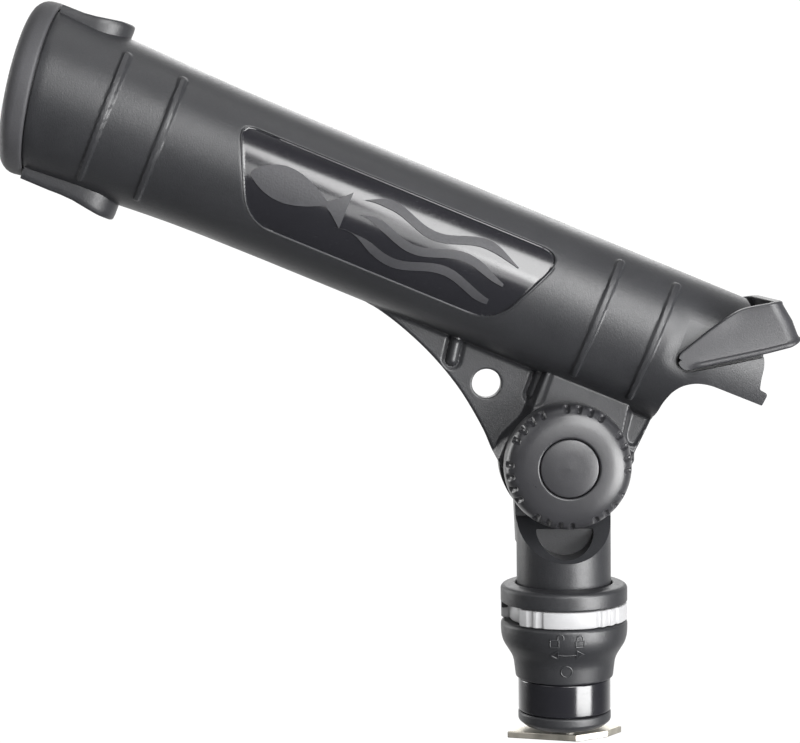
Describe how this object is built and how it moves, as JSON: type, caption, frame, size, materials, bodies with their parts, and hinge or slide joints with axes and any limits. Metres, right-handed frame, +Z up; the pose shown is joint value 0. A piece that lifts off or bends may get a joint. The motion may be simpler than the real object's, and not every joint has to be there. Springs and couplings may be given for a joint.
{
  "type": "fishing rod holder",
  "caption": "Adjustable fishing rod holder: flared tube with closing collar and butt bail, toothed tilt joint with hand knob, lift-out post in a bayonet socket on a T-track clamp.",
  "frame": {"origin": "centre of the track nut's flat underside, on the base column's axis", "axes": "+X towards the tube's butt end, -X towards its mouth, -Y the knob side, +Z up the base column"},
  "size_m": [0.2607, 0.0571, 0.249],
  "materials": {
    "satin_nylon": "satin",
    "grey_nylon": "satin",
    "soft_rim": "soft matte",
    "gloss_nylon": "gloss",
    "white_acetal": "satin",
    "stainless_steel": "bright",
    "brass": "plain"
  },
  "bodies": {
    "track_clamp": {"track_nut": "stainless_steel", "clamp_stud": "stainless_steel"},
    "pad": {"base_pad": "satin_nylon"},
    "base": {"base_housing": "satin_nylon", "threaded_insert": "brass", "riser_sleeve": "gloss_nylon", "socket_cap": "satin_nylon"},
    "lock_ring": {"lock_ring": "white_acetal"},
    "post": {"post": "satin_nylon", "pivot_bolt": "stainless_steel", "bolt_washer": "stainless_steel"},
    "holder": {"tube_body": "satin_nylon"},
    "collar": {"mouth_collar": "soft_rim"},
    "bail": {"butt_bail": "grey_nylon"},
    "knob_washer": {"knob_washer": "stainless_steel"},
    "knob": {"tilt_knob": "satin_nylon", "knob_nut": "brass", "knob_cap": "gloss_nylon"}
  },
  "joints": [
    {"name": "clamp_travel", "type": "slide", "parent": "track_clamp", "child": "pad", "axis": [0, 0, 1], "range_m": [-0.001, 0.002]},
    {"name": "clamp_turn", "type": "hinge", "parent": "pad", "child": "base", "pos_m": [0, 0, 0.0095], "axis": [0, 0, 1], "range_deg": [-360, 720]},
    {"name": "lock_turn", "type": "hinge", "parent": "base", "child": "lock_ring", "pos_m": [0, 0, 0.0435], "axis": [0, 0, 1], "range_deg": [-32, 0]},
    {"name": "post_lift", "type": "slide", "parent": "base", "child": "post", "axis": [0, 0, 1], "range_m": [0, 0.03]},
    {"name": "tilt", "type": "hinge", "parent": "post", "child": "holder", "pos_m": [0, 0, 0.0945], "axis": [0, 1, 0], "range_deg": [-45, 45]},
    {"name": "collar_turn", "type": "hinge", "parent": "holder", "child": "collar", "pos_m": [-0.17123, 0, 0.21987], "axis": [0.9681, 0, -0.2504], "range_deg": [-90, 90]},
    {"name": "bail_swing", "type": "hinge", "parent": "holder", "child": "bail", "pos_m": [0.03877, 0, 0.12954], "axis": [0, 1, 0], "range_deg": [-30, 0]},
    {"name": "knob_travel", "type": "slide", "parent": "post", "child": "knob_washer", "axis": [0, -1, 0], "range_m": [0, 0.003]},
    {"name": "knob_turn", "type": "hinge", "parent": "knob_washer", "child": "knob", "pos_m": [0, -0.0165, 0.0945], "axis": [0, -1, 0], "range_deg": [0, 1080]}
  ],
  "couplings": [
    {"joint": "clamp_travel", "follows": "clamp_turn", "m_per_rad": 0.00015915},
    {"joint": "knob_travel", "follows": "knob_turn", "m_per_rad": 0.00015915}
  ]
}
